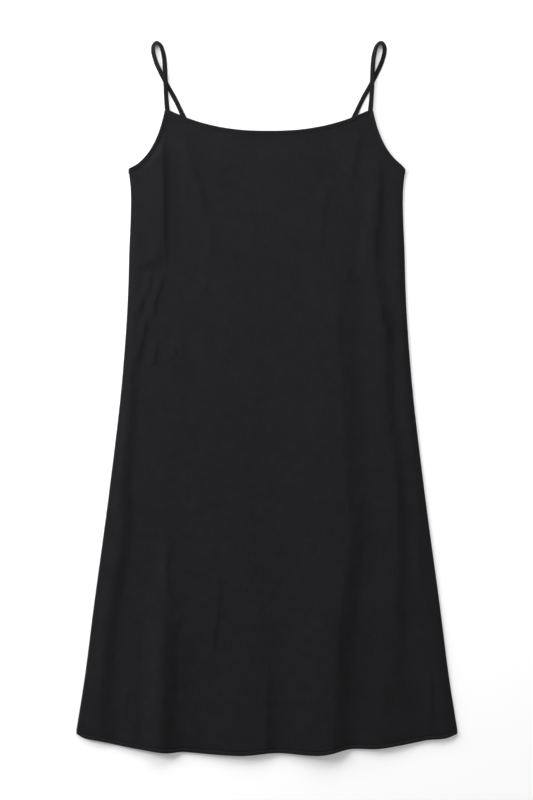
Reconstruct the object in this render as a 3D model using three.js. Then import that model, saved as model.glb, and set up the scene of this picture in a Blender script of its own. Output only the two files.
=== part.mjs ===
// A tank dress with thin straps, laid flat on a surface with its back underneath.
// Millimetres. +Z is up off the surface, +Y runs towards the neck, +X to the viewer's right.
// The origin is on the surface, below the middle of the dress's outline.
// "up" is always a distance above the lowest point of the hem, measured along the surface.

import * as THREE from 'three';

// ---- Driving dimensions ----

const TOTAL_LENGTH = 1146; // lowest point of the hem to the top of the strap loops
const UNDERARM_UP = 940; // where the side seams end
const HEM_HALF = 305.4; // half the width across the hem's corners
const NECK_SHIFT = 3.2; // the neck and straps lie this far to the right of the hem's middle
const PANEL_WALL = 1.2; // cloth of the front and back
const HEM_WALL = 2; // the same cloth where it is turned up at the hem
const HEM_TURN = 8; // width of the turned hem
const STRIP_WALL = 1; // cloth of the bias strips
const STRIP_REACH = 6; // how far a folded strip covers a panel from its edge
const SEAM_GAP = 0.3; // between pieces that are sewn together
const STRAP_THICKNESS = 2;
const HEM_RISE = 35; // the hem's corners lie this far above its middle
const HEM_POWER = 2.4;
const BACK_HEM_HIDDEN = 4; // the back is this much shorter than the front

// Half width of the body between its side seams.
const SIDE_SECTIONS = [
  { at: 'hem', up: HEM_RISE, half: HEM_HALF },
  { at: 'above the hem', up: 120, half: 292 },
  { at: 'lower skirt', up: 230, half: 278 },
  { at: 'upper skirt', up: 425, half: 252 },
  { at: 'high hip', up: 615, half: 230.6 },
  { at: 'waist', up: 745, half: 222.2 },
  { at: 'above the waist', up: 810, half: 220.4 },
  { at: 'below the bust', up: 870, half: 218 },
  { at: 'bust', up: 905, half: 217.9 },
  { at: 'underarm', up: UNDERARM_UP, half: 221.5 },
];

// Each armhole is one Bezier curve from the underarm to the strap corner, as half widths and heights.
const FRONT_CUT = {
  armhole: [
    { half: 221.5, up: UNDERARM_UP },
    { half: 213.5, up: 948 },
    { half: 182.3, up: 958 },
    { half: 167, up: 1033 },
  ],
  neckInnerCorner: 157,
  neckCentreUp: 1001.2,
  neckPower: 2.35,
};
const BACK_CUT = {
  armhole: [
    { half: 221.5, up: UNDERARM_UP },
    { half: 208, up: 948 },
    { half: 148, up: 952 },
    { half: 131, up: 1004 },
  ],
  neckInnerCorner: 121,
  neckCentreUp: 970,
  neckPower: 2.2,
};

// Lines of the front's folds from left to right: crests and the troughs between them. At each of
// FOLD_UPS, x is where the line runs and rise is the height of the cloth over the back.
const FOLD_UPS = [0, 180, 360, 560, 740, UNDERARM_UP];
const FOLD_LINES = [
  { line: 'left side roll', x: [-270, -260, -234, -222, -212, -210], rise: [2.6, 3, 3, 2.2, 1.3, 0] },
  { line: 'left side trough', x: [-246, -239, -213, -204, -197, -196], rise: [0.3, 0.1, 0.1, 0.2, 0.3, 0] },
  { line: 'left of the flute', x: [-206, -203, -190, -184, -181, -180], rise: [1.4, 1, 0.6, 0.4, 0.3, 0] },
  { line: 'left flute', x: [-171, -168, -162, -158, -156, -156], rise: [8.4, 7, 1.2, 0.7, 0.5, 0] },
  { line: 'left trough', x: [-136, -137, -124, -124, -124, -124], rise: [0.2, 0.2, 0.3, 0.5, 0.4, 0] },
  { line: 'left middle flute', x: [-22, -24, -42, -58, -65, -66], rise: [4.2, 1.8, 1, 0.9, 0.7, 0] },
  { line: 'middle trough', x: [18, 18, 10, 6, 6, 6], rise: [0.8, 0.6, 0.5, 0.7, 0.6, 0] },
  { line: 'right flute', x: [104, 109, 131, 120, 114, 116], rise: [8, 7.6, 5.2, 4.2, 2.4, 0] },
  { line: 'right trough', x: [135, 142, 163, 153, 147, 150], rise: [0.2, 0.2, 0.3, 0.3, 0.3, 0] },
  { line: 'outer right flute', x: [184, 202, 207, 188, 176, 170], rise: [3.2, 2.8, 2.8, 2.8, 2.5, 0] },
  { line: 'right side trough', x: [250, 225, 225, 206, 194, 192], rise: [0.4, 0.2, 0.1, 0.1, 0.1, 0] },
  { line: 'right side roll', x: [288, 268, 245, 225, 212, 208], rise: [1.8, 1.6, 1.4, 1.5, 1.6, 0] },
];

// How far the folds draw the hem up, or let it down, from its even curve at places across it.
const HEM_WAVES = [
  { at: 'left corner', x: -HEM_HALF, lift: 0 },
  { at: 'left side roll', x: -292, lift: -3 },
  { at: 'left side trough', x: -266, lift: -1.5 },
  { at: 'left flute', x: -165, lift: -2.6 },
  { at: 'left trough', x: -128, lift: 2 },
  { at: 'left middle flute', x: -45, lift: 0.2 },
  { at: 'middle trough', x: 16, lift: 4.8 },
  { at: 'right flute', x: 85, lift: -0.4 },
  { at: 'right trough', x: 136, lift: 6.2 },
  { at: 'outer right flute', x: 184, lift: 1.8 },
  { at: 'right side trough', x: 253, lift: 2.6 },
  { at: 'right side roll', x: 288, lift: -1.6 },
  { at: 'right corner', x: HEM_HALF, lift: 0 },
];

// The route of a strap's middle from the front corner, round its loop, to the back corner.
// out is measured from the middle of the neck, z is the height of the strap's middle.
const STRAP_ROUTE = [
  { at: 'front corner', out: 162.3, up: 1033.3, z: 6, width: 7.8 },
  { at: 'front part', out: 163.7, up: 1047, z: 5.1, width: 7.8 },
  { at: 'front part, near the crossing', out: 164.7, up: 1061, z: 3.7, width: 7.6 },
  { at: 'over the crossing', out: 165.3, up: 1079, z: 3.4, width: 7.6 },
  { at: 'past the crossing', out: 166.1, up: 1096, z: 3.4, width: 7.4 },
  { at: 'loop, inner side', out: 166.9, up: 1111, z: 2.6, width: 7.2 },
  { at: 'loop, inner side, higher', out: 168.7, up: 1124, z: 1.4, width: 7 },
  { at: 'loop, inner shoulder', out: 172.6, up: 1136.3, z: 1, width: 6.4 },
  { at: 'loop, top', out: 179.6, up: 1142.9, z: 1, width: 6 },
  { at: 'loop, outer shoulder', out: 185, up: 1137.2, z: 1, width: 6 },
  { at: 'loop, outer side', out: 185.4, up: 1128, z: 1, width: 6.4 },
  { at: 'loop, outer side, lower', out: 182.6, up: 1116.5, z: 1, width: 6.8 },
  { at: 'before the crossing', out: 178.2, up: 1104.6, z: 1, width: 7 },
  { at: 'under the crossing', out: 165.3, up: 1079, z: 1, width: 7 },
  { at: 'back part', out: 151, up: 1053.5, z: 1, width: 7.2 },
  { at: 'under the front neckline', out: 138.6, up: 1027.8, z: 1, width: 7.6 },
  { at: 'near the back corner', out: 130.6, up: 1012, z: 1.4, width: 7.8 },
  { at: 'back corner', out: 126.6, up: 1004.3, z: 1.9, width: 7.8 },
];

// Grid of each panel: its rows' heights above the hem's corners, and numbers of rows and columns.
// The first three rows are the hem's edge and both sides of the step at the top of its turning.
const HEM_ROW_HEIGHTS = [0, HEM_TURN, 1.2 * HEM_TURN];
const FRONT_ROWS = [
  ...HEM_ROW_HEIGHTS, 30, 70, 120, 175, 240, 310, 380, 450, 520, 590, 660, 725, 780, 820, 850, 873, 891,
];
const BACK_ROWS = [...HEM_ROW_HEIGHTS, 120, 240, 360, 480, 600, 710, 790, 842, 873, 891];
const FRONT_COLUMNS = 38;
const BACK_COLUMNS = 20;
const HEM_ROWS = 2;
const TOP_ROWS = 9;
const COLUMN_CROWDING = 0.62; // 0 spaces the columns evenly, 1 crowds them at the side seams
const STRAP_STATIONS = 46;
const ROUNDING = 1e-6; // two fractions this near are the same place

// ---- Sizes that follow ----

const HEM_Y = -TOTAL_LENGTH / 2;
const EDGE_INSET = STRIP_WALL + SEAM_GAP; // a bound panel stops this far inside its strip's edge
const BOUND_STACK = PANEL_WALL + 2 * EDGE_INSET; // a bound edge, through both legs of its strip
const FRONT_REST = PANEL_WALL + SEAM_GAP; // underside of the front where it lies on the back
const OVER_BACK_STRIP = BOUND_STACK + SEAM_GAP; // underside of whatever lies on the back's strips
const FRONT_EDGE = OVER_BACK_STRIP + EDGE_INSET; // underside of the front inside its own strips
const EDGE_LEVEL_WIDTH = 14; // the bound edges stay level for this far inwards
const EDGE_FADE_WIDTH = 48; // and have come down to rest by this far
const OVERLAY_MARGIN = 12; // the front stays up this much further round the back's strips
const HEM_FADE_WIDTH = 60;
const NECK_SHIFT_END = 0.3; // part of the armhole in which the shift to the right comes in

const mix = (a, b, t) => a + (b - a) * t;

function ease(t) {
  const c = Math.min(Math.max(t, 0), 1);
  return c * c * (3 - 2 * c);
}

const fade = (distance, from, to) => 1 - ease((distance - from) / (to - from));

// A smooth curve through one column of a table, as a function of another column.
function tableCurve(rows, along, value) {
  const last = rows.length - 1;
  const slopeAt = (i) => {
    const a = rows[Math.max(i - 1, 0)];
    const b = rows[Math.min(i + 1, last)];
    return (b[value] - a[value]) / (b[along] - a[along]);
  };
  return (x) => {
    let i = 0;
    while (i < last - 1 && x > rows[i + 1][along]) i += 1;
    const span = rows[i + 1][along] - rows[i][along];
    const t = Math.min(Math.max((x - rows[i][along]) / span, 0), 1);
    const rise = rows[i + 1][value] - rows[i][value];
    const startBend = slopeAt(i) * span - rise;
    const endBend = rise - slopeAt(i + 1) * span;
    return mix(rows[i][value], rows[i + 1][value], t) + t * (1 - t) * (startBend * (1 - t) + endBend * t);
  };
}

const sideHalf = tableCurve(SIDE_SECTIONS, 'up', 'half');

// ---- Outlines ----

function bezier(points, key, t) {
  const s = 1 - t;
  const [a, b, c, d] = points.map((point) => point[key]);
  return s * s * s * a + 3 * s * s * t * b + 3 * s * t * t * c + t * t * t * d;
}

const neckShift = (t) => NECK_SHIFT * ease(t / NECK_SHIFT_END);

function armholePoint(cut, side, t) {
  const half = bezier(cut.armhole, 'half', t);
  return new THREE.Vector2(neckShift(t) + side * half, bezier(cut.armhole, 'up', t));
}

function neckUp(cut, out) {
  const cornerUp = cut.armhole[3].up;
  const t = Math.min(Math.abs(out) / cut.neckInnerCorner, 1);
  return mix(cut.neckCentreUp, cornerUp, t ** cut.neckPower);
}

const neckPoint = (cut, out) => new THREE.Vector2(NECK_SHIFT + out, neckUp(cut, out));

const foldCurves = FOLD_LINES.map(({ x, rise }) => {
  const rows = FOLD_UPS.map((up, i) => ({ up, x: x[i], rise: rise[i] }));
  return { x: tableCurve(rows, 'up', 'x'), rise: tableCurve(rows, 'up', 'rise') };
});

// The fold lines at a height, with the side seams outside them.
function foldsAt(up) {
  const edge = sideHalf(Math.max(up, HEM_RISE));
  const lines = foldCurves.map((curve) => ({ x: curve.x(up), rise: curve.rise(up) }));
  return [{ x: -edge, rise: 0 }, ...lines, { x: edge, rise: 0 }];
}

// The eased value of a column between the neighbouring rows of places across the dress.
function between(rows, x, key) {
  let i = 0;
  while (i < rows.length - 2 && x > rows[i + 1].x) i += 1;
  const t = (x - rows[i].x) / (rows[i + 1].x - rows[i].x);
  return mix(rows[i][key], rows[i + 1][key], ease(t));
}

function hemUp(x) {
  const even = HEM_RISE * (Math.abs(x) / HEM_HALF) ** HEM_POWER;
  return even + between(HEM_WAVES, x, 'lift');
}

// ---- Distances to a panel's bound edges, and the heights that follow from them ----

function boundEdge(cut) {
  const points = [];
  const steps = 24;
  for (let i = 0; i < steps; i += 1) points.push(armholePoint(cut, -1, i / steps));
  for (let i = 0; i <= 2 * steps; i += 1) {
    points.push(neckPoint(cut, cut.armhole[3].half * (i / steps - 1)));
  }
  for (let i = steps - 1; i >= 0; i -= 1) points.push(armholePoint(cut, 1, i / steps));
  return points;
}

const FRONT_BOUND_EDGE = boundEdge(FRONT_CUT);
const BACK_BOUND_EDGE = boundEdge(BACK_CUT);

function distanceTo(edge, x, up) {
  const point = new THREE.Vector3(x, up, 0);
  const nearest = new THREE.Vector3();
  let least = Infinity;
  for (let i = 1; i < edge.length; i += 1) {
    const start = new THREE.Vector3(edge[i - 1].x, edge[i - 1].y, 0);
    const end = new THREE.Vector3(edge[i].x, edge[i].y, 0);
    new THREE.Line3(start, end).closestPointToPoint(point, true, nearest);
    least = Math.min(least, nearest.distanceTo(point));
  }
  return least;
}

function backUnderside(x, up) {
  return EDGE_INSET * fade(distanceTo(BACK_BOUND_EDGE, x, up), EDGE_LEVEL_WIDTH, EDGE_FADE_WIDTH);
}

function frontUnderside(x, up) {
  const toEdge = distanceTo(FRONT_BOUND_EDGE, x, up);
  const toBackEdge = distanceTo(BACK_BOUND_EDGE, x, up);
  const atEdge = (FRONT_EDGE - FRONT_REST) * fade(toEdge, EDGE_LEVEL_WIDTH, EDGE_FADE_WIDTH);
  const overlayFade = fade(toBackEdge - OVERLAY_MARGIN, EDGE_LEVEL_WIDTH, EDGE_FADE_WIDTH);
  const overBack = (OVER_BACK_STRIP - FRONT_REST) * overlayFade;
  const overHem = (HEM_WALL - PANEL_WALL) * fade(up - hemUp(x), 2 * HEM_TURN, HEM_FADE_WIDTH);
  return FRONT_REST + Math.max(atEdge, overBack) + overHem + between(foldsAt(up), x, 'rise');
}

// ---- Closed solids from rings and grids of points ----

class Solid {
  constructor() {
    this.positions = [];
    this.triangles = [];
  }

  point(x, up, z) {
    this.positions.push(x, up + HEM_Y, z);
    return this.positions.length / 3 - 1;
  }

  quad(a, b, c, d) {
    this.triangles.push(a, b, c, a, c, d);
  }

  geometry() {
    const geometry = new THREE.BufferGeometry();
    geometry.setAttribute('position', new THREE.Float32BufferAttribute(this.positions, 3));
    geometry.setIndex(this.triangles);
    geometry.computeVertexNormals();
    return geometry;
  }
}

// A panel on a grid of places: rows run from the hem up, columns from left to right.
function panelOnGrid(grid, underside) {
  const solid = new Solid();
  const wall = (r) => (r < HEM_ROWS ? HEM_WALL : PANEL_WALL);
  const addSheet = (lift) =>
    grid.map((row, r) => row.map((p) => solid.point(p.x, p.y, underside(p.x, p.y) + lift(r))));
  const under = addSheet(() => 0);
  const over = addSheet(wall);
  const lastRow = grid.length - 1;
  const lastColumn = grid[0].length - 1;
  for (let r = 0; r < lastRow; r += 1) {
    for (let c = 0; c < lastColumn; c += 1) {
      solid.quad(over[r][c], over[r][c + 1], over[r + 1][c + 1], over[r + 1][c]);
      solid.quad(under[r + 1][c], under[r + 1][c + 1], under[r][c + 1], under[r][c]);
    }
    solid.quad(under[r][0], over[r][0], over[r + 1][0], under[r + 1][0]);
    const right = lastColumn;
    solid.quad(under[r + 1][right], over[r + 1][right], over[r][right], under[r][right]);
  }
  for (let c = 0; c < lastColumn; c += 1) {
    solid.quad(under[0][c + 1], over[0][c + 1], over[0][c], under[0][c]);
    solid.quad(under[lastRow][c], over[lastRow][c], over[lastRow][c + 1], under[lastRow][c + 1]);
  }
  return solid.geometry();
}

// The sections of the strips and of the straps have eight corners each, and these quads close their ends.
const END_QUADS = [[0, 1, 2, 3], [0, 3, 4, 7], [7, 4, 5, 6]];

// Equal rings of corners joined in order, closed at both ends.
function wallOnRings(rings) {
  const solid = new Solid();
  const rows = rings.map((ring) => ring.map((p) => solid.point(p.x, p.y, p.z)));
  const size = rows[0].length;
  for (let r = 1; r < rows.length; r += 1) {
    for (let i = 0; i < size; i += 1) {
      const next = (i + 1) % size;
      solid.quad(rows[r - 1][i], rows[r - 1][next], rows[r][next], rows[r][i]);
    }
  }
  const first = rows[0];
  const last = rows[rows.length - 1];
  for (const [a, b, c, d] of END_QUADS) {
    solid.quad(first[d], first[c], first[b], first[a]);
    solid.quad(last[a], last[b], last[c], last[d]);
  }
  return solid.geometry();
}

// ---- Panels ----

// Directions into the panel at each place, mitred where the edge turns.
function inwardDirections(places, turn) {
  const normals = [];
  for (let i = 1; i < places.length; i += 1) {
    const along = places[i].clone().sub(places[i - 1]).normalize();
    normals.push(new THREE.Vector2(-along.y * turn, along.x * turn));
  }
  return places.map((place, i) => {
    const before = normals[Math.max(i - 1, 0)];
    const after = normals[Math.min(i, normals.length - 1)];
    const middle = before.clone().add(after).normalize();
    return middle.divideScalar(middle.dot(after));
  });
}

// An armhole's edge from the underarm to the strap corner. At the underarm it meets the side seam.
function armholeStations(cut, side) {
  const places = [];
  for (let i = 0; i <= TOP_ROWS; i += 1) places.push(armholePoint(cut, side, i / TOP_ROWS));
  const inward = inwardDirections(places, side);
  inward[0].set(0, -1 / Math.abs(inward[0].y));
  inward[TOP_ROWS].set(-side, 0);
  return places.map((place, i) => ({ place, inward: inward[i] }));
}

// Places across a panel from -1 to 1, with one at each inner corner of the neck.
function columnFractions(cut, count) {
  const quarter = (COLUMN_CROWDING * Math.PI) / 2;
  const fractions = [];
  for (let i = 0; i <= count; i += 1) {
    fractions.push(Math.sin(mix(-quarter, quarter, i / count)) / Math.sin(quarter));
  }
  const corner = cut.neckInnerCorner / cut.armhole[3].half;
  const offCorner = (u) => Math.abs(Math.abs(u) - corner);
  const nearest = Math.min(...fractions.map(offCorner));
  const isNearest = (u) => offCorner(u) < nearest + ROUNDING;
  return fractions.map((u) => (isNearest(u) ? Math.sign(u) * corner : u));
}

function neckStations(cut, outs) {
  const places = outs.map((out) => neckPoint(cut, out));
  const inward = inwardDirections(places, -1);
  return places.map((place, i) => ({ place, inward: inward[i] }));
}

const inset = ({ place, inward }) => place.clone().addScaledVector(inward, EDGE_INSET);

function panelGrid(cut, rowHeights, across, hemRaise) {
  const body = rowHeights.map((height) => {
    const t = height / (UNDERARM_UP - HEM_RISE);
    return across.map((u) => {
      const hem = hemUp(u * HEM_HALF) + hemRaise;
      return new THREE.Vector2(u * sideHalf(HEM_RISE + height), mix(hem, UNDERARM_UP, t));
    });
  });
  const cornerUp = cut.armhole[3].up;
  const cornerHalf = cut.armhole[3].half;
  const leftEdge = armholeStations(cut, -1);
  const rightEdge = armholeStations(cut, 1);
  const top = leftEdge.map((_, r) => {
    const t = r / TOP_ROWS;
    const climb = (bezier(cut.armhole, 'up', t) - UNDERARM_UP) / (cornerUp - UNDERARM_UP);
    const half = bezier(cut.armhole, 'half', t);
    const row = across.map((u) => {
      const neck = neckUp(cut, u * cornerHalf);
      return new THREE.Vector2(neckShift(t) + u * half, mix(UNDERARM_UP, neck, climb));
    });
    row[0] = inset(leftEdge[r]);
    row[across.length - 1] = inset(rightEdge[r]);
    return row;
  });
  const neckEdge = neckStations(cut, across.map((u) => u * cornerHalf));
  const neckRow = neckEdge.map(inset);
  neckRow[0].x += EDGE_INSET;
  neckRow[across.length - 1].x -= EDGE_INSET;
  top[TOP_ROWS] = neckRow;
  return [...body, ...top];
}

// ---- Bias strips: each is folded over a panel's edge, one leg above it and one below ----

// stations are places along the finished edge, each with the direction into the panel.
function foldedStrip(stations, base) {
  const legTop = base + STRIP_WALL;
  const upperLeg = base + BOUND_STACK - STRIP_WALL;
  const top = base + BOUND_STACK;
  const section = [
    { reach: 0, z: base },
    { reach: STRIP_REACH, z: base },
    { reach: STRIP_REACH, z: legTop },
    { reach: STRIP_WALL, z: legTop },
    { reach: STRIP_WALL, z: upperLeg },
    { reach: STRIP_REACH, z: upperLeg },
    { reach: STRIP_REACH, z: top },
    { reach: 0, z: top },
  ];
  const rings = stations.map(({ place, inward }) =>
    section.map(({ reach, z }) => {
      const p = place.clone().addScaledVector(inward, reach);
      return new THREE.Vector3(p.x, p.y, z);
    }));
  return wallOnRings(rings);
}

function armholeStrip(cut, side, base) {
  const stations = armholeStations(cut, side);
  return foldedStrip(side > 0 ? stations : stations.reverse(), base);
}

// Between the two armhole strips, with a station at each of the panel's columns.
function neckStrip(cut, across, base) {
  const half = cut.armhole[3].half;
  const end = half - STRIP_REACH - SEAM_GAP;
  const outs = across.map((u) => u * half).filter((out) => Math.abs(out) < end);
  return foldedStrip(neckStations(cut, [-end, ...outs, end]).reverse(), base);
}

// ---- Straps: a flat turned strip with rounded sides ----

const STRAP_SECTION = [
  { across: 0.72, high: -1 },
  { across: 1, high: -0.45 },
  { across: 1, high: 0.45 },
  { across: 0.72, high: 1 },
  { across: -0.72, high: 1 },
  { across: -1, high: 0.45 },
  { across: -1, high: -0.45 },
  { across: -0.72, high: -1 },
];

function strap(side) {
  const points = STRAP_ROUTE.map(({ out, up }) => new THREE.Vector3(NECK_SHIFT + side * out, up, 0));
  const route = new THREE.CatmullRomCurve3(points, false, 'centripetal');
  const last = STRAP_ROUTE.length - 1;
  const rings = [];
  for (let i = 0; i <= STRAP_STATIONS; i += 1) {
    const t = i / STRAP_STATIONS;
    const middle = route.getPoint(t);
    const along = route.getTangent(t);
    if (i === 0) along.set(0, 1, 0);
    if (i === STRAP_STATIONS) along.set(0, -1, 0);
    const across = new THREE.Vector3(along.y, -along.x, 0).normalize();
    const before = Math.min(Math.floor(t * last), last - 1);
    const valueOf = (key) => mix(STRAP_ROUTE[before][key], STRAP_ROUTE[before + 1][key], t * last - before);
    middle.z = valueOf('z');
    rings.push(STRAP_SECTION.map((corner) => {
      const p = middle.clone().addScaledVector(across, (corner.across * valueOf('width')) / 2);
      p.z += (corner.high * STRAP_THICKNESS) / 2;
      return p;
    }));
  }
  return wallOnRings(rings.reverse());
}

// ---- The dress ----

const BLACK_CLOTH = 0x232224;
const BLACK_STRIP = 0x262527;

const dress = new THREE.Group();

function add(name, geometry, color) {
  const material = new THREE.MeshStandardMaterial({ color, roughness: 0.9, metalness: 0 });
  const mesh = new THREE.Mesh(geometry, material);
  mesh.name = name;
  dress.add(mesh);
}

const frontAcross = columnFractions(FRONT_CUT, FRONT_COLUMNS);
const backAcross = columnFractions(BACK_CUT, BACK_COLUMNS);
const frontGrid = panelGrid(FRONT_CUT, FRONT_ROWS, frontAcross, 0);
const backGrid = panelGrid(BACK_CUT, BACK_ROWS, backAcross, BACK_HEM_HIDDEN);
add('front_panel', panelOnGrid(frontGrid, frontUnderside), BLACK_CLOTH);
add('back_panel', panelOnGrid(backGrid, backUnderside), BLACK_CLOTH);

add('neck_binding_front', neckStrip(FRONT_CUT, frontAcross, OVER_BACK_STRIP), BLACK_STRIP);
add('neck_binding_back', neckStrip(BACK_CUT, backAcross, 0), BLACK_STRIP);
for (const { name, side } of [{ name: 'left', side: -1 }, { name: 'right', side: 1 }]) {
  add(`armhole_binding_front_${name}`, armholeStrip(FRONT_CUT, side, OVER_BACK_STRIP), BLACK_STRIP);
  add(`armhole_binding_back_${name}`, armholeStrip(BACK_CUT, side, 0), BLACK_STRIP);
  add(`strap_${name}`, strap(side), BLACK_STRIP);
}

export default dress;
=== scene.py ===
"""A black tank dress laid flat on a pale surface, seen from straight above.

The two panels are thin shells with given folds, the neckline and armholes have folded bias
strips, and the straps are narrow turned strips lying in loops.
turned into metres where a mesh is made.
"""

import math

import bpy
import numpy as np
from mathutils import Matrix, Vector


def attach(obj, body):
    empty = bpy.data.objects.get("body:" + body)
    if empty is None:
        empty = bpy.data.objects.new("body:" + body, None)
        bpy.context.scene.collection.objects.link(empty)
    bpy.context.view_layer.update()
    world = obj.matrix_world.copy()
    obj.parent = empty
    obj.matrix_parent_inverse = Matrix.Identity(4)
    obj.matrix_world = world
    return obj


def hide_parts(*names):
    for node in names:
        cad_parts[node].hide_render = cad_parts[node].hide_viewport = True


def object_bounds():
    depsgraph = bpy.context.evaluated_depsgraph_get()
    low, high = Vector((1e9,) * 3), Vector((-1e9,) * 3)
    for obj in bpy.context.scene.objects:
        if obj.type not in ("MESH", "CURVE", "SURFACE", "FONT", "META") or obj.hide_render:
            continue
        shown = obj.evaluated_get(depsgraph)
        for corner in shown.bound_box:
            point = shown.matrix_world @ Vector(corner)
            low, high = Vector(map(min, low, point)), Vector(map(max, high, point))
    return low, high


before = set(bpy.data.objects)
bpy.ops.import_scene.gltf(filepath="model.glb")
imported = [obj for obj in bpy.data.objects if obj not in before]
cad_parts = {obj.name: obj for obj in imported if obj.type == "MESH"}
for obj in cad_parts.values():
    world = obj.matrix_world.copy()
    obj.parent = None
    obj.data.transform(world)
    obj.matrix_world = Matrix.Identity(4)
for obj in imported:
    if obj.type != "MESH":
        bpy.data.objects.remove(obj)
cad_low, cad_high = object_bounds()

MM = 0.001

# ---- Sizes of the garment, in millimetres; "up" is measured from the hem's lowest point ----

TOTAL_LENGTH = 1146  # lowest point of the hem to the top of the strap loops
HEM_Y = -TOTAL_LENGTH / 2
UNDERARM_UP = 940  # where the side seams end
NECK_SHIFT = 3.2  # the neck and straps lie this far to the right of the hem's middle
NECK_SHIFT_END = 0.3  # part of the armhole in which that shift comes in
HEM_RISE = 35  # the hem's corners lie this far above its middle
HEM_POWER = 2.4
HEM_HALF = cad_high.x / MM
HEM_TURN = 6.2  # the turned hem is sewn this far above its edge
BACK_HEM_HIDDEN = 4  # the back is this much shorter than the front

SIDE_SECTIONS = [
    {"at": "hem", "up": 35, "half": HEM_HALF},
    {"at": "above the hem", "up": 120, "half": 292.0},
    {"at": "lower skirt", "up": 230, "half": 278.0},
    {"at": "upper skirt", "up": 425, "half": 252},
    {"at": "high hip", "up": 615, "half": 230.6},
    {"at": "waist", "up": 745, "half": 222.2},
    {"at": "above the waist", "up": 810, "half": 220.4},
    {"at": "below the bust", "up": 870, "half": 218},
    {"at": "bust", "up": 905, "half": 217.9},
    {"at": "underarm", "up": UNDERARM_UP, "half": 221.5},
]

# Armholes are Bezier curves of (half width, up) from the underarm to the strap corner.
FRONT = {
    "armhole": [(221.5, UNDERARM_UP), (213.5, 948), (182.3, 958), (167, 1033)],
    "inner_corner": 157,
    "neck_centre": 1001.2,
    "neck_power": 2.35,
}
BACK = {
    "armhole": [(221.5, UNDERARM_UP), (208, 948), (148, 952), (131, 1004)],
    "inner_corner": 121,
    "neck_centre": 970,
    "neck_power": 2.2,
}

# Crests and troughs from left to right: where each line runs and how high its cloth lies, at each
# of these heights above the hem.
FOLD_UPS = [0, 100, 180, 260, 360, 460, 560, 660, 800, UNDERARM_UP]
FOLD_LINES = [
    {"line": "left side roll",
     "x": [-270, -268, -260, -249, -234, -231, -222, -215, -210, -210],
     "rise": [2.6, 2.8, 3.0, 3.2, 3.0, 2.8, 2.2, 1.6, 1.0, 0]},
    {"line": "left side trough",
     "x": [-246, -246, -239, -229, -213, -211, -204, -199, -196, -196],
     "rise": [0.3, 0.2, 0.1, 0.1, 0.1, 0.1, 0.2, 0.3, 0.4, 0]},
    {"line": "left of the flute",
     "x": [-206, -205, -203, -198, -190, -188, -184, -182, -180, -180],
     "rise": [2.4, 2.2, 1.6, 0.8, 0.6, 0.5, 0.4, 0.4, 0.3, 0]},
    {"line": "left flute",
     "x": [-171, -170, -168, -165, -162, -160, -158, -156, -156, -156],
     "rise": [8.2, 8.0, 6.6, 2.2, 1.2, 0.9, 0.7, 0.6, 0.4, 0]},
    {"line": "left trough",
     "x": [-136, -137, -137, -130, -124, -124, -124, -124, -124, -124],
     "rise": [0.2, 0.2, 0.2, 0.2, 0.3, 0.4, 0.5, 0.5, 0.4, 0]},
    {"line": "left middle flute",
     "x": [-22, -22, -24, -32, -42, -50, -58, -64, -66, -66],
     "rise": [4.2, 3.0, 1.8, 1.2, 1.0, 1.0, 0.9, 0.8, 0.6, 0]},
    {"line": "middle trough",
     "x": [18, 18, 18, 14, 10, 8, 6, 6, 6, 6],
     "rise": [0.8, 0.7, 0.6, 0.5, 0.5, 0.6, 0.7, 0.7, 0.5, 0]},
    {"line": "right flute",
     "x": [104, 106, 109, 118, 131, 119, 120, 113, 114, 116],
     "rise": [8.0, 8.0, 7.6, 6.4, 5.2, 4.6, 4.2, 3.4, 1.4, 0]},
    {"line": "right trough",
     "x": [135, 139, 142, 150, 163, 152, 153, 147, 148, 150],
     "rise": [0.2, 0.2, 0.2, 0.2, 0.3, 0.3, 0.3, 0.3, 0.3, 0]},
    {"line": "outer right flute",
     "x": [184, 190, 202, 205, 207, 202, 188, 187, 168, 170],
     "rise": [3.2, 3.0, 2.8, 2.8, 2.8, 3.0, 2.8, 2.8, 2.2, 0.6]},
    {"line": "right side trough",
     "x": [250, 240, 225, 224, 225, 220, 206, 205, 188, 192],
     "rise": [0.4, 0.3, 0.2, 0.1, 0.1, 0.1, 0.1, 0.1, 0.1, 0]},
    {"line": "right side roll",
     "x": [288, 279, 268, 256, 245, 236, 225, 218, 208, 208],
     "rise": [1.8, 1.6, 1.6, 1.6, 1.4, 1.4, 1.5, 1.6, 1.6, 0.6]},
]

# How far the folds draw the hem edge up, at places across it.
HEM_WAVES = [
    {"x": -HEM_HALF, "lift": 0},
    {"x": -292, "lift": -3.0},
    {"x": -266, "lift": -1.5},
    {"x": -165, "lift": -2.6},
    {"x": -128, "lift": 2.0},
    {"x": -45, "lift": 0.2},
    {"x": 16, "lift": 4.8},
    {"x": 85, "lift": -0.4},
    {"x": 136, "lift": 6.2},
    {"x": 184, "lift": 1.8},
    {"x": 253, "lift": 2.6},
    {"x": 288, "lift": -1.6},
    {"x": HEM_HALF, "lift": 0},
]
HEM_CORNER_ROUND = 1.0  # how far the hem turns up at its corners
HEM_CORNER_REACH = 8
FOLDS_FADE = (UNDERARM_UP - 60, UNDERARM_UP + 40)  # the heights between which the folds die away
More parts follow.
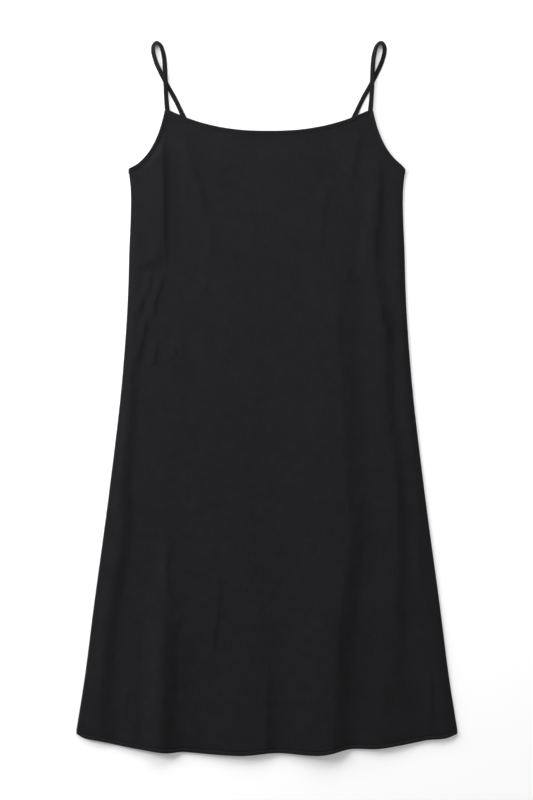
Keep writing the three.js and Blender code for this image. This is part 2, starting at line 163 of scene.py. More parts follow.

# Small creases, given one by one. Each runs down or to the right along its route of (x, up) points.
# before and after are its widths on the left (or upper) and right (or lower) side; height is that
# of its ridge, and below zero it is a trough.
FRONT_CREASES = [
    {"at": "below the left armhole", "route": [(-169, 1020), (-166, 900), (-167, 850), (-162, 768)],
     "before": 28, "after": 5.5, "height": 3.4},
    {"at": "left side, level", "route": [(-212, 786), (-186, 792), (-164, 802)],
     "before": 12, "after": 5, "height": 1.2},
    {"at": "left waist, inner", "route": [(-163, 782), (-172, 750), (-181, 726), (-183, 694)],
     "before": 9, "after": 4, "height": 1.7},
    {"at": "left waist, middle", "route": [(-186, 776), (-190, 748), (-196, 734)],
     "before": 8, "after": 5, "height": 1.3},
    {"at": "left waist, outer", "route": [(-196, 742), (-208, 708)],
     "before": 7, "after": 4.5, "height": 1.3},
    {"at": "left waist drag", "route": [(-192, 710), (-200, 670), (-207, 640), (-206, 618)],
     "before": 8, "after": 5, "height": 1.7},
    {"at": "left hip, short", "route": [(-178, 664), (-182, 620)],
     "before": 9, "after": 4.5, "height": 1.4},
    {"at": "left hip dimple", "route": [(-150, 668), (-146, 640)],
     "before": 6, "after": 4.5, "height": 0.9},
    {"at": "left hip dimple, inner", "route": [(-140, 664), (-136, 640)],
     "before": 5, "after": 4, "height": 0.6},
    {"at": "left hip arc", "route": [(-172, 640), (-150, 622), (-128, 628)],
     "before": 7, "after": 5, "height": 0.6},
    {"at": "left drag line", "route": [(-138, 1004), (-124, 955), (-106, 900), (-104, 850)],
     "before": 16, "after": 8, "height": 1.5},
    {"at": "left drag line, lower", "route": [(-103, 858), (-91, 834), (-89, 784)],
     "before": 8, "after": 5, "height": 0.7},
    {"at": "left chest, short", "route": [(-131, 924), (-128, 886)],
     "before": 6, "after": 4, "height": 0.8},
    {"at": "left chest, lower", "route": [(-99, 770), (-99, 738)],
     "before": 7, "after": 4, "height": 0.8},
    {"at": "right side below the armhole",
     "route": [(179, 975), (178, 905), (177, 850), (172, 838), (172, 768)],
     "before": 16, "after": 5.5, "height": 1.9},
    {"at": "right waist drag", "route": [(178, 734), (182, 705), (190, 682), (194, 655)],
     "before": 12, "after": 6, "height": 2.0},
    {"at": "right waist, level", "route": [(158, 722), (184, 727)],
     "before": 5, "after": 6, "height": 0.7},
    {"at": "right side, thin", "route": [(157, 850), (157, 768)],
     "before": 9, "after": 4, "height": 0.9},
    {"at": "right chest line", "route": [(103, 924), (94, 894), (87, 868), (88, 808)],
     "before": 12, "after": 6, "height": 1.0},
    {"at": "right drag line", "route": [(152, 1004), (138, 960), (132, 905)],
     "before": 14, "after": 6, "height": 1.2},
    {"at": "right chest, short", "route": [(130, 786), (128, 754)],
     "before": 7, "after": 5, "height": 0.9},
    {"at": "inside the right flute", "route": [(113, 765), (112, 690), (111, 606)],
     "before": 10, "after": 5, "height": 0.9},
    {"at": "right hip, level", "route": [(138, 648), (172, 636)],
     "before": 6, "after": 6, "height": 0.5},
    {"at": "middle wrinkle", "route": [(20, 842), (36, 834), (60, 818)],
     "before": 6, "after": 5, "height": 0.8},
    {"at": "left of the middle wrinkle", "route": [(-24, 862), (-23, 826), (-25, 788)],
     "before": 7, "after": 4.5, "height": 0.6},
    {"at": "beside the left flute",
     "route": [(-153, 346), (-160, 320), (-163, 294), (-159, 268), (-152, 236)],
     "before": 9, "after": 4, "height": 1.2},
    {"at": "left flute, inner spur", "route": [(-143, 232), (-141, 202)],
     "before": 6, "after": 5, "height": 1.0},
    {"at": "left flute, foot", "route": [(-142, 76), (-135, 50), (-122, 30), (-108, 20)],
     "before": 7, "after": 6, "height": 0.9},
    {"at": "left skirt crease", "route": [(-81, 312), (-79, 270), (-80, 235), (-84, 195), (-93, 136)],
     "before": 10, "after": 4.2, "height": 1.2},
    {"at": "left skirt, short", "route": [(-225, 108), (-229, 66)],
     "before": 7, "after": 4, "height": 0.9},
    {"at": "level crease above the hem",
     "route": [(-135, 96), (-80, 92), (-20, 88), (40, 91), (104, 90)],
     "before": 5, "after": 7, "height": 0.6},
    {"at": "middle hem crease", "route": [(-1, 160), (-1, 90), (-2, -20)],
     "before": 12, "after": 7, "height": 1.5},
    {"at": "right flute spur", "route": [(155, 430), (146, 392)],
     "before": 6, "after": 4.5, "height": 1.0},
    {"at": "right hip line", "route": [(208, 462), (210, 425), (211, 380)],
     "before": 8, "after": 4.5, "height": 1.2},
    {"at": "right edge line, upper", "route": [(240, 356), (244, 310), (247, 262)],
     "before": 7, "after": 3.8, "height": 0.9},
    {"at": "right edge line", "route": [(259, 146), (261, 100), (264, 60), (267, 34)],
     "before": 8, "after": 3.8, "height": 1.1},
    {"at": "right hem, short", "route": [(196, 112), (186, 80), (176, 62)],
     "before": 7, "after": 5, "height": 0.6},
    {"at": "upper skirt, soft", "route": [(-138, 612), (-136, 560)],
     "before": 14, "after": 9, "height": 0.6},
    {"at": "middle skirt, soft", "route": [(-30, 350), (-28, 300)],
     "before": 9, "after": 5, "height": 0.4},
    {"at": "waist, soft", "route": [(-20, 720), (-16, 640), (-26, 560)],
     "before": 20, "after": 12, "height": 0.4},
]
BACK_CREASES = [
    {"at": "left back drag line", "route": [(-118, 966), (-104, 900), (-92, 840)],
     "before": 10, "after": 7, "height": 0.5},
    {"at": "right back drag line", "route": [(122, 962), (112, 905), (96, 850)],
     "before": 8, "after": 9, "height": 0.5},
    {"at": "left back waist", "route": [(-150, 760), (-158, 690), (-150, 610)],
     "before": 14, "after": 9, "height": 0.4},
    {"at": "left back skirt", "route": [(-90, 420), (-104, 260), (-100, 60)],
     "before": 16, "after": 10, "height": 0.5},
    {"at": "right back skirt", "route": [(140, 380), (152, 240), (158, 50)],
     "before": 12, "after": 12, "height": 0.5},
    {"at": "middle back", "route": [(20, 620), (12, 500), (24, 380)],
     "before": 10, "after": 14, "height": 0.4},
    {"at": "right back waist", "route": [(168, 770), (172, 720), (160, 660)],
     "before": 7, "after": 10, "height": 0.45},
]

CREASE_REACH = 3  # a crease is worked out to this many of its widths
CREASE_END = 0.3  # part of its route over which it rises from nothing, and dies away again

# Waves of the cloth that keep it from lying dead flat. Each is as high as stated, repeats along x
# and up at 2 pi times the lengths given, and sways sideways as it goes.
UNEVENNESS = [
    {"wave": "swells", "height": 0.25, "x": 41, "x_sway": 1.3, "x_sway_up": 87, "shift": 0,
     "up": 63, "up_sway": 0.8, "up_sway_x": 57},
    {"wave": "ripples", "height": 0.1, "x": 11, "x_sway": 2.1, "x_sway_up": 31, "shift": 0.7,
     "up": 23, "up_sway": 1.4, "up_sway_x": 19},
    {"wave": "fine", "height": 0.035, "x": 4.3, "x_sway": 1.7, "x_sway_up": 13, "shift": 0,
     "up": 9.5, "up_sway": 1.9, "up_sway_x": 8},
]

# The middle of a strap from the front corner, round its loop, to the back corner. out is measured
# from the middle of the neck, z is the height of the strap's middle, roll turns the strap about
# its own length, in degrees.
STRAP_ROUTE = [
    {"at": "front corner", "out": 162.3, "up": 1031.5, "z": 3.3, "width": 8.0, "roll": 0},
    {"at": "front part", "out": 163.7, "up": 1047, "z": 3.2, "width": 7.4, "roll": 3},
    {"at": "near the crossing", "out": 164.7, "up": 1061, "z": 3.1, "width": 7.2, "roll": 5},
    {"at": "over the crossing", "out": 165.3, "up": 1079, "z": 3.1, "width": 7.2, "roll": 5},
    {"at": "past the crossing", "out": 166.1, "up": 1096, "z": 3.1, "width": 7.4, "roll": 8},
    {"at": "loop, inner side", "out": 166.9, "up": 1111, "z": 2.6, "width": 7.4, "roll": 12},
    {"at": "loop, higher", "out": 168.7, "up": 1124, "z": 2.2, "width": 7.4, "roll": 18},
    {"at": "loop, inner shoulder", "out": 172.6, "up": 1136.3, "z": 2.2, "width": 7.2, "roll": 26},
    {"at": "loop, top", "out": 179.6, "up": 1142.6, "z": 2.2, "width": 7.0, "roll": 30},
    {"at": "loop, outer shoulder", "out": 184.8, "up": 1137.2, "z": 2.0, "width": 7.0, "roll": 26},
    {"at": "loop, outer side", "out": 185.2, "up": 1128, "z": 1.7, "width": 7.2, "roll": 20},
    {"at": "loop, lower", "out": 182.4, "up": 1116.5, "z": 1.4, "width": 7.2, "roll": 16},
    {"at": "before the crossing", "out": 178.0, "up": 1104.6, "z": 1.1, "width": 7.2, "roll": 10},
    {"at": "under the crossing", "out": 165.3, "up": 1079, "z": 0.9, "width": 7.0, "roll": 4},
    {"at": "back part", "out": 151, "up": 1053.5, "z": 0.9, "width": 7.0, "roll": 6},
    {"at": "under the neckline", "out": 138.6, "up": 1027.8, "z": 0.9, "width": 7.2, "roll": 4},
    {"at": "near the back corner", "out": 130.6, "up": 1012, "z": 1.0, "width": 7.6, "roll": 2},
    {"at": "back corner", "out": 126.6, "up": 1003, "z": 1.05, "width": 7.6, "roll": 0},
]
STRAP_THICKNESS = 1.5
STRAP_STATIONS = 190
STRAP_SIDES = 18
STRAP_SEAM = {"side": 4.5, "width": 0.9, "depth": 0.18}  # a groove along the middle of its top
STRAP_FLATNESS = {"across": 0.75, "through": 0.8}  # 1 makes its section an ellipse, less squares it
STRAP_LOWEST = 0.1

# Heights above the surface of each layer's underside and top, where it lies flat and where it
# reaches its strips. A fade is a pair of distances from a bound edge, from all to none.
SHELL = 0.6
BACK_EDGE = 0.75
FRONT_UNDER = 1.3
FRONT_UNDER_EDGE = 3.0
FRONT_UNDER_OVER_BACK = 2.3
FRONT_TOP = 2.8
FRONT_TOP_EDGE = 3.6
TOP_FADE = (6, 80)
UNDER_FADE = (6, 30)
LOOSE_FROM = 5  # creases start this far inside a bound edge
LOOSE_WIDTH = 12  # and are whole this much further in
LOOSE_SIDE = 10  # and this far inside a side seam
OVERLAY_MARGIN = 8
LEAST_WALL = 0.35
LEAST_HEM_WALL = 0.15
SIDE_ROUND = 3.5
SIDE_DROP = 1.5
TROUGH_LIMIT = 0.9

# Strips: heights of their undersides and tops, and their section.
BACK_STRIP_HEIGHTS = (0.1, 2.0)
FRONT_STRIP_HEIGHTS = (2.3, 4.2)
STRIP_REACH = 6
STRIP_WALL = 0.45
STRIP_BULGE = 1.3  # how far the rounded fold runs in from the edge
STRIP_END_GAP = 0.3  # between a neck strip's ends and the armhole strips
STRIP_EVEN_REACH = 4  # beyond this the upper leg's edge wanders a little
PANEL_INSET = 1.2  # a bound panel's edge stops this far inside its strip's edge
PANEL_INSET_WIDTH = 3
PANEL_INSET_AIM = (NECK_SHIFT, UNDERARM_UP - 60)  # the place that the edge is pulled towards

# The turned hem: a rounded band, and the groove where it is sewn.
HEM_BAND = 0.55
HEM_BAND_MIDDLE = 2.8
HEM_BAND_HALF = 3.2
HEM_GROOVE = 0.6
HEM_GROOVE_WIDTH = 0.75
HEM_SIDE_WIDTH = 2
HEM_PUCKERS = [
    {"pucker": "short", "share": 0.25, "along": 5.3, "sway": 1, "sway_along": 21},
    {"pucker": "long", "share": 0.2, "along": 13, "sway": 2, "sway_along": 37},
]

STITCH_LENGTH = 2.1
STITCH_PITCH = 2.9
STITCH_RADIUS = 0.3
STITCH_SIDES = 6
STITCH_SINK = 0.3  # how far a stitch's ends go down into the cloth, for each unit along it
STITCH_FLATNESS = 0.8
STITCH_INSET = 4.9  # distance of a strip's stitches from its edge
STITCH_DEPTH = 0.14  # and how far their middles lie below the strip's top

# A strip's upper leg as (distance from the edge, height above the strip's top): it swells beside
# the fold, dips where it is stitched, and ends in a thin edge. Its inside is level.
STRIP_UPPER_LEG = [
    (2.6, 0.1), (3.8, 0.04), (4.5, -0.2), (STITCH_INSET, -0.32), (5.3, -0.2), (5.7, -0.16),
    (STRIP_REACH, -0.3),
]
STRIP_LEG_DROP = 0.1
STRIP_LEG_FROM = 4.2
STRIP_WANDERS = [(0.12, 0.9), (0.08, 2.3)]  # how far its edge wanders, and the turn for each place

# A stitch's section along its length, from -0.5 to 0.5 of it, and how thick it is there.
STITCH_STATIONS = [(-0.5, 0.25), (-0.36, 0.9), (0, 1.0), (0.36, 0.9), (0.5, 0.25)]

# Rows of the grid near the hem, as heights above its edge, and how much coarser an underside is.
# The body's rows go on from the first body row to the underarm.
HEM_STEPS = [0, 0.3, 0.8, 1.6, 2.6, 3.8, 4.8, 5.4, 5.8, 6.2, 6.6, 7.0, 7.8, 9.4, 12.5]
FIRST_BODY_ROW = 16
UNDERSIDE_STEP = 3
LOOK_AHEAD = 0.4  # a line's direction at a place is taken from there to this much further on
COLUMN_CROWDING = 0.28  # 0 spaces the columns evenly, more crowds them at the side seams
TOP_ROW_CROWDING = 1.25  # 1 spaces the rows beside the armholes evenly, more crowds them at the neck


# ---- Small functions ----

def ease(t):
    t = np.clip(t, 0, 1)
    return t * t * (3 - 2 * t)


def fade(distance, start, end):
    return 1 - ease((distance - start) / (end - start))


def column(rows, key):
    return [row[key] for row in rows]


def table_curve(rows, along, value):
    """A smooth curve through one column of a table, as a function of another column."""
    xs = np.array(column(rows, along), float)
    ys = np.array(column(rows, value), float)
    slopes = np.gradient(ys, xs)
    slopes[0] = (ys[1] - ys[0]) / (xs[1] - xs[0])
    slopes[-1] = (ys[-1] - ys[-2]) / (xs[-1] - xs[-2])

    def curve(x):
        x = np.clip(x, xs[0], xs[-1])
        i = np.clip(np.searchsorted(xs, x, side="right") - 1, 0, len(xs) - 2)
        span = xs[i + 1] - xs[i]
        t = (x - xs[i]) / span
        rise = ys[i + 1] - ys[i]
        start_bend = slopes[i] * span - rise
        end_bend = rise - slopes[i + 1] * span
        return ys[i] + t * rise + t * (1 - t) * (start_bend * (1 - t) + end_bend * t)

    return curve


side_half = table_curve(SIDE_SECTIONS, "up", "half")


# ---- Outlines ----

def bezier(points, t):
    a, b, c, d = (np.array(p, float) for p in points)
    t = np.asarray(t, float)[..., None]
    s = 1 - t
    return s**3 * a + 3 * s * s * t * b + 3 * s * t * t * c + t**3 * d


def neck_shift(t):
    return NECK_SHIFT * ease(np.asarray(t) / NECK_SHIFT_END)


def armhole_points(cut, side, t):
    half_up = bezier(cut["armhole"], t)
    return np.stack([neck_shift(t) + side * half_up[..., 0], half_up[..., 1]], -1)


def neck_up(cut, out):
    corner_up = cut["armhole"][3][1]
    t = np.minimum(np.abs(out) / cut["inner_corner"], 1)
    return cut["neck_centre"] + (corner_up - cut["neck_centre"]) * t ** cut["neck_power"]


def smooth_values(xs, ys):
    """A smooth curve through points, as a function."""
    rows = [{"x": x, "y": y} for x, y in zip(xs, ys)]
    return table_curve(rows, "x", "y")


FOLD_CURVES = [
    (smooth_values(FOLD_UPS, line["x"]), smooth_values(FOLD_UPS, line["rise"])) for line in FOLD_LINES
]


def folds_at(up):
    """x and height of every fold line at each of the given heights, one row for each line."""
    edge = side_half(np.maximum(up, HEM_RISE))
    level = np.zeros_like(edge)
    gone = fade(up, *FOLDS_FADE)
    xs = [-edge] + [x_at(up) for x_at, _ in FOLD_CURVES] + [edge]
    zs = [level] + [rise_at(up) * gone for _, rise_at in FOLD_CURVES] + [level]
    return np.array(xs), np.array(zs)


def along_lines(xs, values, x):
    """Eased values between neighbouring lines, at places x."""
    result = np.zeros_like(x)
    for i in range(len(xs) - 1):
        t = (x - xs[i]) / (xs[i + 1] - xs[i])
        inside = (t >= 0) & (t <= 1)
        value = values[i] + (values[i + 1] - values[i]) * ease(t)
        result = np.where(inside, value, result)
    return result


def hem_up(x):
    x = np.asarray(x, float)
    even = HEM_RISE * np.abs(x / HEM_HALF) ** HEM_POWER
    xs = np.array(column(HEM_WAVES, "x"), float)[:, None]
    lifts = np.array(column(HEM_WAVES, "lift"), float)[:, None]
    to_corner = np.clip(1 - (HEM_HALF - np.abs(x)) / HEM_CORNER_REACH, 0, 1)
    return even + along_lines(xs, lifts, x) + HEM_CORNER_ROUND * to_corner**2


# ---- Distances and heights ----

def distance_to_route(x, up, route):
    """Distance to a line of points, how far along it that is (0 to 1), and on which side."""
    best = np.full(x.shape, 1e9)
    part = np.zeros(x.shape)
    side = np.zeros(x.shape)
    route = np.array(route, float)
    lengths = np.linalg.norm(np.diff(route, axis=0), axis=1)
    total = lengths.sum()
    start = 0.0
    for (x0, y0), (x1, y1), length in zip(route[:-1], route[1:], lengths):
        dx, dy = x1 - x0, y1 - y0
        t = np.clip(((x - x0) * dx + (up - y0) * dy) / (length * length), 0, 1)
        distance = np.hypot(x - x0 - t * dx, up - y0 - t * dy)
        closer = distance < best
        best = np.where(closer, distance, best)
        part = np.where(closer, (start + t * length) / total, part)
        side = np.where(closer, np.sign(dx * (up - y0) - dy * (x - x0)), side)
        start += length
    return best, part, side


def bound_edge(cut):
    t = np.linspace(0, 1, 25)
    half = cut["armhole"][3][0]
    outs = np.linspace(-half, half, 49)
    neck = np.stack([NECK_SHIFT + outs, neck_up(cut, outs)], -1)
    return np.concatenate([armhole_points(cut, -1, t), neck[1:-1], armhole_points(cut, 1, t)[::-1]])


def crease_heights(x, up, creases):
    """Height that the creases of a table add at places of a panel."""
    z = np.zeros(x.shape)
    for crease in creases:
        route = np.array(crease["route"], float)
        near = CREASE_REACH * max(crease["before"], crease["after"])
        low, high = route.min(0) - near, route.max(0) + near
        close = (x > low[0]) & (x < high[0]) & (up > low[1]) & (up < high[1])
        distance, part, side = distance_to_route(x[close], up[close], route)
        level = abs(route[-1, 0] - route[0, 0]) > abs(route[-1, 1] - route[0, 1])
        after = side < 0 if level else side > 0
        width = np.where(after, crease["after"], crease["before"])
        ends = ease(part / CREASE_END) * ease((1 - part) / CREASE_END)
        z[close] += crease["height"] * np.exp(-((distance / width) ** 2)) * ends
    return z


def soft_unevenness(x, up):
    """Low swells that keep the cloth from lying dead flat."""
    z = np.zeros(x.shape)
    for wave in UNEVENNESS:
        along_x = np.sin(x / wave["x"] + wave["x_sway"] * np.sin(up / wave["x_sway_up"]) + wave["shift"])
        along_up = np.sin(up / wave["up"] + wave["up_sway"] * np.sin(x / wave["up_sway_x"]))
        z += wave["height"] * along_x * along_up
    return z


def inside_side(x, up):
    return side_half(np.maximum(up, HEM_RISE)) - np.abs(x)


def front_surfaces(x, up):
    """Heights of the front's underside and top."""
    to_edge = distance_to_route(x, up, bound_edge(FRONT))[0]
    to_back = np.maximum(distance_to_route(x, up, bound_edge(BACK))[0] - OVERLAY_MARGIN, 0)
    folds = along_lines(*folds_at(up), x)
    at_edge = (FRONT_UNDER_EDGE - FRONT_UNDER) * fade(to_edge, *UNDER_FADE)
    over_back = (FRONT_UNDER_OVER_BACK - FRONT_UNDER) * fade(to_back, *UNDER_FADE)
    under = FRONT_UNDER + np.maximum(at_edge, over_back) + folds
    raised = (FRONT_TOP_EDGE - FRONT_TOP) * fade(np.minimum(to_edge, to_back), *TOP_FADE)
    top = FRONT_TOP + raised + folds
    loose = ease((to_edge - LOOSE_FROM) / LOOSE_WIDTH) * ease(inside_side(x, up) / LOOSE_SIDE)
    creases = crease_heights(x, up, FRONT_CREASES) + soft_unevenness(x, up)
    top = top + np.maximum(creases, -TROUGH_LIMIT) * loose
    rounding = 1 - np.clip(inside_side(x, up) / SIDE_ROUND, 0, 1)
    top = top - np.where(up < UNDERARM_UP, SIDE_DROP * (1 - np.sqrt(1 - rounding**2)), 0)
    return np.minimum(under, top - LEAST_WALL), top


def back_surfaces(x, up):
    """Heights of the back's underside and top."""
    to_edge = distance_to_route(x, up, bound_edge(BACK))[0]
    loose = ease((to_edge - LOOSE_FROM) / LOOSE_WIDTH)
    under = BACK_EDGE * fade(to_edge, *UNDER_FADE) + crease_heights(x, up, BACK_CREASES) * loose
    return under, under + SHELL


# ---- Meshes ----

def make_object(name, vertices, faces, material, smooth=True):
    mesh = bpy.data.meshes.new(name)
    mesh.from_pydata([tuple(v) for v in vertices], [], [tuple(f) for f in faces])
    mesh.update()
    mesh.polygons.foreach_set("use_smooth", [smooth] * len(mesh.polygons))
    mesh.materials.append(material)
    piece = bpy.data.objects.new(name, mesh)
    bpy.context.scene.collection.objects.link(piece)
    return piece


def to_metres(x, up, z):
    return np.stack([x * MM, (up + HEM_Y) * MM, z * MM], -1)


def grid_faces(rows, columns, offset, flip):
    faces = []
    for r in range(rows - 1):
        for c in range(columns - 1):
            a = offset + r * columns + c
            quad = (a, a + 1, a + columns + 1, a + columns)
            faces.append(quad[::-1] if flip else quad)
    return faces


def rim_of(rows, columns, step):
    """Indices around the edge of a grid, every step-th one, in order."""
    rim = [(0, c) for c in range(0, columns - 1, step)]
    rim += [(r, columns - 1) for r in range(0, rows - 1, step)]
    rim += [(rows - 1, c) for c in range(columns - 1, 0, -step)]
    rim += [(r, 0) for r in range(rows - 1, 0, -step)]
    return rim


def shell_mesh(name, x, up, under, top, material):
    """A closed shell: a fine top, and an underside with a third of its rows and columns."""
    rows, columns = x.shape
    step = UNDERSIDE_STEP
    high = to_metres(x, up, top).reshape(-1, 3)
    low = to_metres(x, up, under)[::step, ::step]
    low_rows, low_columns = low.shape[:2]
    faces = grid_faces(rows, columns, 0, False)
    faces += grid_faces(low_rows, low_columns, rows * columns, True)
    fine = [r * columns + c for r, c in rim_of(rows, columns, 1)]
    coarse = [rows * columns + r // step * low_columns + c // step for r, c in rim_of(rows, columns, step)]
    for i, below in enumerate(coarse):
        beside = coarse[(i + 1) % len(coarse)]
        above = [fine[(i * step + k) % len(fine)] for k in range(step, -1, -1)]
        faces.append((below, beside, *above))
    return make_object(name, np.concatenate([high, low.reshape(-1, 3)]), faces, material)


def swept_mesh(name, rings, material):
    """Rings of points joined in order, with closed ends."""
    count, size = rings.shape[:2]
    faces = []
    for r in range(count - 1):
        for i in range(size):
            j = (i + 1) % size
            faces.append((r * size + i, r * size + j, (r + 1) * size + j, (r + 1) * size + i))
    faces.append(tuple(range(size))[::-1])
    faces.append(tuple((count - 1) * size + i for i in range(size)))
    return make_object(name, rings.reshape(-1, 3) * MM, faces, material)


def across_fractions(count):
    """Places from -1 to 1, crowded towards the side seams."""
    t = np.linspace(-1, 1, count)
    return (1 - COLUMN_CROWDING) * t + COLUMN_CROWDING * np.sin(t * math.pi / 2)


def panel_grid(cut, columns, body_rows, top_rows, hem_raise):
    """Places of a panel's grid, as arrays of x and up: rows from the hem up, columns across."""
    across = across_fractions(columns)
    seam_height = UNDERARM_UP - HEM_RISE
    steps = np.concatenate([HEM_STEPS, np.linspace(FIRST_BODY_ROW, seam_height, body_rows)[:-1]])
    t = (steps / seam_height)[:, None]
    hem = hem_up(across * HEM_HALF)[None, :] + hem_raise
    body_x = side_half(HEM_RISE + steps)[:, None] * across[None, :]
    body_up = hem * (1 - t) + UNDERARM_UP * t
    t = 1 - (1 - np.linspace(0, 1, top_rows)) ** TOP_ROW_CROWDING
    half_up = bezier(cut["armhole"], t)
    half, edge_up = half_up[:, 0], half_up[:, 1]
    corner_half, corner_up = cut["armhole"][3]
    climb = (edge_up - UNDERARM_UP) / (corner_up - UNDERARM_UP)
    neck = neck_up(cut, across * corner_half)
    top_x = neck_shift(t)[:, None] + half[:, None] * across[None, :]
    top_up = UNDERARM_UP + (neck[None, :] - UNDERARM_UP) * climb[:, None]
    return np.concatenate([body_x, top_x]), np.concatenate([body_up, top_up])


def pull_inside_strips(x, up, cut):
    """Moves the bound edges of a panel inwards, so that they end inside their strips."""
    to_edge = distance_to_route(x, up, bound_edge(cut))[0]
    pull = PANEL_INSET * (1 - np.clip(to_edge / PANEL_INSET_WIDTH, 0, 1))
    dx, dy = PANEL_INSET_AIM[0] - x, PANEL_INSET_AIM[1] - up
    length = np.hypot(dx, dy)
    return x + dx / length * pull, up + dy / length * pull


def hem_profile(x, from_edge):
    """The turned hem above the cloth around it: a rounded band and the groove where it is sewn."""
    puckers = 1
    for wave in HEM_PUCKERS:
        sway = wave["sway"] * np.sin(x / wave["sway_along"])
        puckers = puckers + wave["share"] * np.sin(x / wave["along"] + sway)
    band = HEM_BAND * np.clip(1 - ((from_edge - HEM_BAND_MIDDLE) / HEM_BAND_HALF) ** 2, -1, 1)
    groove = HEM_GROOVE * puckers * np.exp(-(((from_edge - HEM_TURN) / HEM_GROOVE_WIDTH) ** 2))
    return np.where(from_edge < HEM_TURN, band, 0) - groove


def cloth_panel(name, cut, surfaces, material, columns, body_rows, top_rows, hem_raise):
    """A front or back. One less than its rows, and than its columns, divides by UNDERSIDE_STEP."""
    x, up = panel_grid(cut, columns, body_rows, top_rows, hem_raise)
    under, top = surfaces(x, up)
    from_edge = up - hem_up(x / side_half(np.maximum(up, HEM_RISE)) * HEM_HALF) - hem_raise
    at_side = ease(inside_side(x, up) / HEM_SIDE_WIDTH)
    top = np.maximum(top + hem_profile(x, from_edge) * at_side, under + LEAST_HEM_WALL)
    x, up = pull_inside_strips(x, up, cut)
    return shell_mesh(name, x, up, under, top, material)


# ---- Strips, straps and stitches ----

def inward_directions(places, turn):
    """Directions into the panel at each place along its edge, mitred where the edge turns."""
    along = np.diff(places, axis=0)
    along /= np.linalg.norm(along, axis=1)[:, None]
    normals = np.stack([-along[:, 1] * turn, along[:, 0] * turn], -1)
    before = np.concatenate([normals[:1], normals])
    after = np.concatenate([normals, normals[-1:]])
    middle = before + after
    middle /= np.linalg.norm(middle, axis=1)[:, None]
    return middle / (middle * after).sum(1)[:, None]


def strip_section(low, high):
    """A strip folded over an edge, as (reach, z) points: a rounded fold and two flat legs."""
    middle, radius = (low + high) / 2, (high - low) / 2
    outer = [(STRIP_REACH, low)]
    for angle in np.linspace(-90, 90, 11):
        a = math.radians(angle)
        outer.append((STRIP_BULGE - STRIP_BULGE * math.cos(a), middle + radius * math.sin(a)))
    outer += [(reach, high + rise) for reach, rise in STRIP_UPPER_LEG]
    upper_leg = high - STRIP_WALL - STRIP_LEG_DROP
    inner = [(STRIP_REACH, upper_leg), (STRIP_LEG_FROM, upper_leg)]
    inner_bulge, inner_radius = STRIP_BULGE - STRIP_WALL, radius - STRIP_WALL
    for angle in np.linspace(90, -90, 7):
        a = math.radians(angle)
        inner.append((STRIP_BULGE - inner_bulge * math.cos(a), middle + inner_radius * math.sin(a)))
    inner.append((STRIP_REACH, low + STRIP_WALL))
    return outer + inner


def folded_strip(name, places, inward, heights, material):
    """A bias strip along the finished edge of a panel."""
    section = strip_section(*heights)
    rings = []
    for index, (place, direction) in enumerate(zip(places, inward)):
        wander = sum(far * math.sin(index * turn) for far, turn in STRIP_WANDERS)
        ring = []
        for reach, z in section:
            reach = reach + (wander if reach > STRIP_EVEN_REACH else 0)
            p = place + direction * reach
            ring.append((p[0], p[1] + HEM_Y, z))
        rings.append(ring)
    return swept_mesh(name, np.array(rings)[:, ::-1], material)


def armhole_route(cut, side, count):
    places = armhole_points(cut, side, np.linspace(0, 1, count))
    inward = inward_directions(places, side)
    inward[0] = (0, -1 / abs(inward[0][1]))
    inward[-1] = (-side, 0)
    return places, inward


def neck_route(cut, count):
    end = cut["armhole"][3][0] - STRIP_REACH - STRIP_END_GAP
    outs = np.linspace(end, -end, count)
    places = np.stack([NECK_SHIFT + outs, neck_up(cut, outs)], -1)
    return places, inward_directions(places, 1)


def resample(points, pitch):
    """Places one pitch apart along a line of points, each with the line's direction there."""
    points = np.array(points, float)
    lengths = np.linalg.norm(np.diff(points, axis=0), axis=1)
    marks = np.concatenate([[0], np.cumsum(lengths)])
    wanted = np.arange(pitch / 2, marks[-1], pitch)

    def places_at(distances):
        return np.stack([np.interp(distances, marks, values) for values in points.T], -1)

    places = places_at(wanted)
    along = places_at(wanted + LOOK_AHEAD) - places
    along[-1] = along[-2]
    return places, along / np.linalg.norm(along, axis=1)[:, None]


def stitch_row(name, line, material):
    """A row of short stitches lying along a line of (x, up, z) points, as one mesh."""
    places, along = resample(line, STITCH_PITCH)
    vertices, faces = [], []
    sides = STITCH_SIDES
    for place, direction in zip(places, along):
        across = np.cross(direction, (0, 0, 1))
        across /= np.linalg.norm(across)
        up = np.cross(across, direction)
        start = len(vertices)
        for part, size in STITCH_STATIONS:
            middle = place + direction * part * STITCH_LENGTH - up * (STITCH_SINK * abs(part))
            for k in range(sides):
                a = 2 * math.pi * k / sides
                ring = across * math.cos(a) + up * math.sin(a) * STITCH_FLATNESS
                vertices.append(middle + ring * STITCH_RADIUS * size)
        last = len(STITCH_STATIONS) - 1
        for s in range(last):
            for k in range(sides):
                a, b = start + s * sides + k, start + s * sides + (k + 1) % sides
                faces.append((a, b, b + sides, a + sides))
        faces.append(tuple(start + k for k in range(sides))[::-1])
        faces.append(tuple(start + last * sides + k for k in range(sides)))
    vertices = np.array(vertices)
    vertices[:, 1] += HEM_Y
    return make_object(name, vertices * MM, faces, material)


def strip_stitches(name, places, inward, top, material):
    line = places + inward * STITCH_INSET
    line = np.concatenate([line, np.full((len(line), 1), top - STITCH_DEPTH)], 1)
    return stitch_row(name, line, material)


